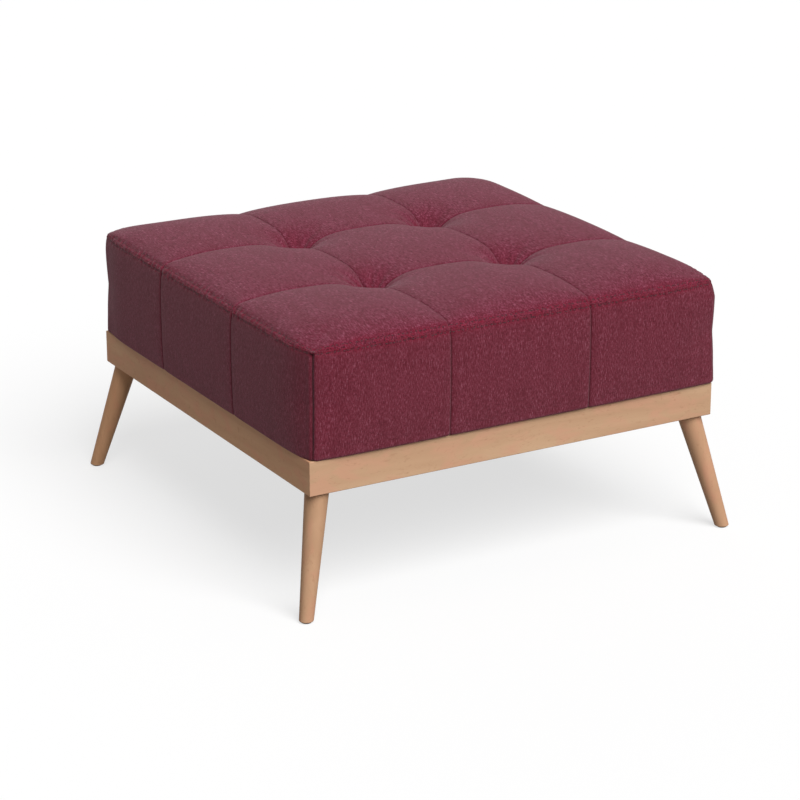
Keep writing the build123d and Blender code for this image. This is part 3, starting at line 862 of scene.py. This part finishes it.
flat_x, flat_y = cover_top[..., 0], cover_top[..., 1]
a, b = np.meshgrid(cloth_lines, cloth_lines, indexing="ij")
depth = np.maximum(groove(to_seam(a)), groove(to_seam(b)))
from_tuft = np.ones_like(a)
for x in (-1, 1):
    for y in (-1, 1):
        beside_x = flat_x - x * seam_offset
        beside_y = flat_y - y * seam_offset
        reach = np.hypot(beside_x, beside_y)
        from_tuft = np.minimum(from_tuft, reach)
        angle = np.arctan2(beside_y, beside_x)
        quarters = 1 + 0.45 * np.sin(angle + draw.uniform(0, 2 * pi))
        fade = (reach / pleat_reach) * np.exp(1 - reach / pleat_reach)
        depth += pleat_depth * fade * quarters * np.cos(pleat_count * angle)
        depth += fine_pleat_depth * fade**2 * np.cos(fine_pleat_count * angle + 3 * np.sin(angle))
edge_distance = edge_half - np.maximum(np.abs(a), np.abs(b))
along_edge = np.where(np.abs(a) > np.abs(b), b * np.sign(a), -a * np.sign(b))
depth += edge_relief(edge_distance, along_edge)
cover_top -= outward(cover_top) * depth[..., None]
corner_distance = np.hypot(edge_half - np.abs(a), edge_half - np.abs(b))
corner_tuck = 0.55 * corner_seam_depth * fading(corner_distance, corner_seam_width, 1.2) / 2**0.5
cover_top[..., 0] -= np.sign(a) * corner_tuck
cover_top[..., 1] -= np.sign(b) * corner_tuck

row_distance = edge_row - cloth_rows
from_corner = edge_half - np.abs(cloth_lines)
rise = np.clip(cloth_rows / hem_fades, 0.15, 1) * (1 - 0.45 * fading(row_distance, edge_fades))
corner_pull = corner_seam_depth * fading(from_corner, corner_seam_width, 1.2)
depth = groove(to_seam(cloth_lines))[:, None] + corner_pull[:, None] * rise
depth += edge_relief(-row_distance[None, :], cloth_lines[:, None])
for side in cover_sides:
    side -= outward(side) * depth[..., None]
meet(cover_top, cover_sides)

# The cloth itself.
# A close woven furnishing cloth of mixed wine and rose yarns. The warp runs from back to front over the
# top and straight down the sides, so the sides show upright streaks, and the nap pales where it turns away.
yarn_pitch = 0.0014
weft_wine = tone(76, 14, 28)
speck_wine = tone(70, 12, 25)
column_wine = tone(94, 27, 41)
# Painted shade: a darker, deeper wine over the puckered sewn edge and round the tufts, with darker specks in
# it, standing in for their shade and the sheen they lose.
edge_and_tuft_shade_wine = tone(118, 14, 40)
shade_speck_wine = tone(56, 12, 24)
# Painted shade: a near-black wine laid into the seam grooves, the corner seams and the dimples at the
# stitches, where shade falls.
seam_shade_wine = tone(60, 4, 15)


def marked(tree, mark_name):
    """The share of a painted shade, in the seams or over the sewn edge and tufts, that the sewn piece carries
    at each point.
    """
    mark = new_node(tree, "Attribute")
    mark.attribute_name = mark_name
    return mark.outputs["Fac"]


def melange(name, warp_axis, per_metre, nap, shades):
    """The mixed-yarn cloth with its warp along one axis (1 for the top, 2 for the sides)."""
    sheen = {"Sheen_Weight": nap, "Sheen_Roughness": 0.5, "Sheen_Tint": (1.0, 0.93, 0.95, 1)}
    material, tree, shader = new_finish(name, 0.92, Specular_IOR_Level=0.15, **sheen)
    yarns = mottle(tree, per_metre, 2.5, 0.0, drawn_out(warp_axis, 0.24))
    places = (0.3, 0.46, 0.58, 0.72)
    colour = graded(tree, yarns, tuple((place, tone(*shade)) for place, shade in zip(places, shades)))
    weft = mottle(tree, per_metre, 2, 0.0, drawn_out(warp_axis, 1.0, others=0.3))
    colour = laid_over(tree, colour, weft_wine, amount(tree, weft, 0.5, 0.68, 0, 0.45))
    specks = mottle(tree, 0.85 * per_metre, 1.5)
    colour = laid_over(tree, colour, speck_wine, amount(tree, specks, 0.55, 0.7, 0, 0.5))
    columns = mottle(tree, 75, 2, 0.0, drawn_out(warp_axis, 0.12))
    colour = laid_over(tree, colour, column_wine, amount(tree, columns, 0.42, 0.7, 0, 0.4))
    # Painted shade over the sewn edge and round the tufts, broken by specks and patches, with darker specks
    # in it.
    edge_and_tuft_shade = marked(tree, "edge_and_tuft_shade")
    speckled_shade = combined(tree, "MULTIPLY", edge_and_tuft_shade, amount(tree, specks, 0.42, 0.6, 1, 0.1))
    patches = amount(tree, mottle(tree, 120, 2.5), 0.36, 0.56, 0.35, 1)
    colour = laid_over(tree, colour, edge_and_tuft_shade_wine, combined(tree, "MULTIPLY", speckled_shade, patches))
    shade_specks = amount(tree, mottle(tree, 430, 1.5), 0.56, 0.64)
    colour = laid_over(tree, colour, shade_speck_wine, combined(tree, "MULTIPLY", edge_and_tuft_shade, shade_specks))
    # Painted shade in the seam grooves, the corner seams and the stitch dimples.
    colour = laid_over(tree, colour, seam_shade_wine, marked(tree, "seam_shade"))
    tree.links.new(colour, shader.inputs["Base Color"])

    across_sides = pi / 4 if warp_axis == 2 else 0.0
    warp, woof = (
        ribs(tree, direction, yarn_pitch, piece_place(tree, turned=across_sides), 0.8, 1.0)
        for direction in ("X", "XYZ"[warp_axis])
    )
    weave = combined(tree, "MULTIPLY", warp, woof)
    relief = combined(tree, "ADD", weave, combined(tree, "MULTIPLY", yarns, 1.2))
    raised(tree, shader, relief, 0.00035, 0.7)
    return material


# The top's shades are the sides' cloth made a little paler and bluer: the cloth's own colour with some of the
# top's sheen painted in.
top_shades_with_painted_sheen = ((84, 21, 36), (107, 38, 56), (119, 50, 69), (147, 82, 101))
side_shades = ((88, 17, 33), (106, 34, 50), (117, 47, 63), (140, 75, 91))
top_cloth = melange("upholstery_top", 1, 540, 0.115, top_shades_with_painted_sheen)
side_cloth = melange("upholstery_side", 2, 780, 0.15, side_shades)
fabric_thickness = 0.0015
allowance = 0.004
hem_turn = 0.028
seam_shade_width = 0.0012
edge_shade_width = 0.0085
tuft_shade_reach = 0.024


def thicken(piece, cloth_thickness):
    """Gives a sheet of cloth its thickness, on the side away from where it faces."""
    thickness = piece.modifiers.new("thickness", "SOLIDIFY")
    thickness.thickness = cloth_thickness
    thickness.offset = -1


def sewn_panel(name, grid, seam_shade, edge_and_tuft_shade, finish, hem):
    """A sewn piece of the cover: its edges turn in at the seams, or under the seat box at the hem."""
    turned = np.pad(grid, ((1, 1), (1, 1), (0, 0)), mode="edge")
    turn_in = np.zeros(turned.shape[:2])
    turn_in[[0, -1]] = allowance
    turn_in[:, [0, -1]] = allowance
    turn_down = turn_in.copy()
    if hem:
        turn_in[:, 0] = hem_turn
        turn_down[[0, -1]] = 0
        turn_down[:, 0] = 0
    turned[..., :2] *= 1 - turn_in[..., None] / edge_half
    turned[..., 2] -= turn_down
    piece = new_piece(name, turned, grid_faces(turned.shape), finish)
    for mark_name, values in (("seam_shade", seam_shade), ("edge_and_tuft_shade", edge_and_tuft_shade)):
        mark = piece.data.attributes.new(mark_name, "FLOAT", "POINT")
        mark.data.foreach_set("value", np.pad(values, 1, mode="edge").astype(np.float32).ravel())
    thicken(piece, fabric_thickness)
    return piece


def seam_shade_near(*distances):
    """How much painted shade darkens the cloth, from its distances to seams, as a share."""
    return 0.8 * fading(np.minimum.reduce(distances), seam_shade_width, 1.6)


# The painted seam shade: along the seams, less of it out over the rim, at the corners and in the dimples at
# the stitches.
seam_shade_fade = 1 - 0.5 * np.clip(into_rim(np.maximum(np.abs(a), np.abs(b))), 0, 1)
top_seam_shade = seam_shade_fade * seam_shade_near(to_seam(a), to_seam(b))
top_seam_shade = np.maximum(0.4 * top_seam_shade, 0.6 * seam_shade_near(0.5 * corner_distance))
top_seam_shade = np.maximum(top_seam_shade, 0.42 * at_stitches(edge_distance, along_edge))
# The painted shade over the puckered sewn edge and in the tufts' pockets.
top_edge_and_tuft_shade = 0.8 * fading(edge_distance, edge_shade_width, 3) + 0.6 * fading(from_tuft, tuft_shade_reach)
top_piece = sewn_panel("top_cover_cloth", cover_top, top_seam_shade, top_edge_and_tuft_shade, top_cloth, False)
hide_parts("top_cover")
corner_seam_shade = 1.25 * seam_shade_near(0.42 * from_corner)
side_seam_shade = np.maximum(seam_shade_near(to_seam(cloth_lines)), corner_seam_shade)[:, None]
side_seam_shade = np.maximum(side_seam_shade, 0.42 * at_stitches(row_distance[None, :], cloth_lines[:, None]))
side_edge_shade = 0.8 * fading(row_distance, edge_shade_width, 3) + np.zeros_like(side_seam_shade)
for side_name, side in zip(side_names, cover_sides):
    side_piece = sewn_panel(f"{side_name}_side_cover_cloth", side, side_seam_shade, side_edge_shade, side_cloth, True)
    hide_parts(f"{side_name}_side_cover")

# The topstitching.
# Two rows of polyester thread run round the sewn edge, one on the top and one on the sides, and each
# stitch pulls the cloth down where it goes in.
stitch_length = 0.0044
thread_radius = 0.0006
thread_sides = 6
thread_turns = [2 * pi * step / thread_sides for step in range(thread_sides)]
thread_rings = (
    (-0.5, -0.0009, 0.6),
    (-0.32, 0.0002, 1.0),
    (0.0, 0.0005, 1.0),
    (0.32, 0.0002, 1.0),
    (0.5, -0.0009, 0.6),
)
thread_twist = 0.0007
thread_finish, tree, shader = new_finish("topstitch_thread", 0.6)
strands = ribs(tree, "DIAGONAL", thread_twist, piece_place(tree))
two_toned(tree, shader, strands, 0.2, (44, 10, 18), 0.8, (78, 22, 34))
raised(tree, shader, strands, 0.0001)


def stitch_row(path, normals, points, faces):
    """Adds one row of stitches along a path on the cloth."""
    lengths = run_length(path)
    for place in stitch_places:
        centre = float(np.interp(place, cloth_lines[1:-1], lengths[1:-1]))
        before, middle, beyond = (
            np.array([np.interp(centre + step, lengths, path[:, axis]) for axis in range(3)])
            for step in (-stitch_length / 2, 0, stitch_length / 2)
        )
        up = np.array([np.interp(centre, lengths, normals[:, axis]) for axis in range(3)])
        aside = np.cross(beyond - before, up)
        aside /= np.linalg.norm(aside)
        first = len(points)
        for share, rise, fullness in thread_rings:
            on_thread = middle + (beyond - before) * share + up * rise
            for turn in thread_turns:
                points.append(on_thread + thread_radius * fullness * (aside * cos(turn) + up * sin(turn)))
        rings = first + np.arange(len(thread_rings) * thread_sides).reshape(-1, thread_sides)
        for here, there in zip(rings, rings[1:]):
            quads = np.stack((here, there, np.roll(there, -1), np.roll(here, -1)), axis=-1)
            faces.extend(quads.tolist())
        faces.extend((rings[0].tolist(), rings[-1, ::-1].tolist()))


stitch_points = []
stitch_faces = []
inset = int(np.argmin(np.abs(edge_half - stitch_offset + cloth_lines)))
for path, normals in zip(rim_lines(cover_top, inset), rim_lines(outward(cover_top), inset)):
    stitch_row(path, normals, stitch_points, stitch_faces)
row = int(np.argmin(np.abs(row_distance - stitch_offset)))
for side in cover_sides:
    stitch_row(side[:, row], outward(side)[:, row], stitch_points, stitch_faces)
stitches = new_piece("edge_topstitching", stitch_points, stitch_faces, thread_finish)

# The tuft twines and their washers.
# Waxed polyester twine holds each tuft down through the foam, and is knotted under the deck against a
# plastic washer. Its upper end, caught in the seams of the cover, is dyed to match the cloth.
twine_twist = 0.0016
dyed_length = 0.025
dye_fades = 0.001
twine_finish, tree, shader = new_finish("tuft_twine", 0.55)
strands = ribs(tree, "DIAGONAL", twine_twist, piece_place(tree))
twist = graded(tree, strands, ((0.1, tone(196, 186, 164)), (0.9, tone(236, 230, 214))))
height = new_node(tree, "SeparateXYZ")
tree.links.new(piece_place(tree), height.inputs["Vector"])
dyed_from = rail_top + crown_height - tuft_depth - dyed_length
dyed = amount(tree, height.outputs["Z"], dyed_from, dyed_from + dye_fades)
dyed_twist = graded(tree, strands, ((0.1, tone(62, 14, 26)), (0.9, tone(92, 26, 40))))
tree.links.new(laid_over(tree, twist, dyed_twist, dyed), shader.inputs["Base Color"])
raised(tree, shader, strands, 0.0003)
dress([f"{corner}_tuft_twine" for corner in corner_names], twine_finish)

washer_finish, tree, shader = new_finish("washer_plastic", 0.4)
two_toned(tree, shader, mottle(tree, 700, 2), 0.3, (38, 38, 40), 0.7, (52, 52, 55))
raised(tree, shader, mottle(tree, 3000, 1), 0.00004)
dress(["tuft_washers"], washer_finish)

# The staples.
# Galvanised wire staples, shot through the cover's hem into the boards and through the dust cover into
# the battens.
staple_finish = plated("staple_wire", (204, 206, 210), (170, 172, 176), 0.3, 0)
dress(["hem_staples", "dust_staples"], staple_finish)

# The dust cover.
# A black spun-bonded cloth is stretched under the battens and notched round the corner blocks. It sags a
# little in the middle, and short folds run in from its staples.
dust_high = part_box("dust_cover")[1]
dust_half = dust_high.x
notch_clearance = 0.001
dust_notch = -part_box("front_left_corner_block")[1].x - notch_clearance
dust_gap = 0.0001
dust_sag = 0.003
fold_depth = 0.0008
fold_reach = 0.03
fold_from_edge = 0.024
dust_thickness = 0.0006
dust_line_count = 133
rail_thickness = 0.018
staple_from_corner = 0.070
staple_gaps = 6
even_lines = np.linspace(-dust_half, dust_half, dust_line_count)
dust_lines = np.unique(np.round(np.concatenate((even_lines, (-dust_notch, dust_notch))), 6))
x, y = np.meshgrid(dust_lines, dust_lines, indexing="ij")
from_edge = dust_half - np.maximum(np.abs(x), np.abs(y))
along_edge = np.where(np.abs(x) > np.abs(y), y, x)
staple_spacing = 2 * (seat_half - rail_thickness - staple_from_corner) / staple_gaps
folds = np.cos(2 * pi * along_edge / staple_spacing) * fading(from_edge, fold_reach, 1)
sag = dust_sag * (1 - (x / dust_half) ** 2) * (1 - (y / dust_half) ** 2)
inset_edge = np.clip(from_edge / fold_from_edge, 0, 1)
z = dust_high.z - dust_gap - sag - fold_depth * inset_edge * (1 + folds)
dust_points = np.stack((x, y, z), axis=-1)
dust_finish, tree, shader = new_finish("dust_cloth", 0.9, Sheen_Weight=0.15)
bonds = new_node(tree, "TexVoronoi", Scale=620, Randomness=0.08)
bonds.distance = "CHEBYCHEV"
tree.links.new(piece_place(tree), bonds.inputs["Vector"])
fibres = mottle(tree, 1400, 4, 1.5)
cloth_black = graded(tree, fibres, ((0.3, tone(26, 26, 28)), (0.7, tone(48, 48, 51))))
bonded = amount(tree, bonds.outputs["Distance"], 0.12, 0.3, 0.7, 0)
cloth_black = laid_over(tree, cloth_black, tone(18, 18, 20), bonded)
tree.links.new(cloth_black, shader.inputs["Base Color"])
raised(tree, shader, bonds.outputs["Distance"], 0.0003)
kept = (np.minimum(np.abs(x), np.abs(y)) <= dust_notch + 1e-7).ravel()
number = np.cumsum(kept) - 1
dust_faces = np.array(grid_faces(dust_points.shape))
dust_faces = [number[face[::-1]].tolist() for face in dust_faces if kept[face].all()]
dust_sheet = new_piece("dust_cover_cloth", dust_points.reshape(-1, 3)[kept], dust_faces, dust_finish)
thicken(dust_sheet, dust_thickness)
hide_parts("dust_cover")
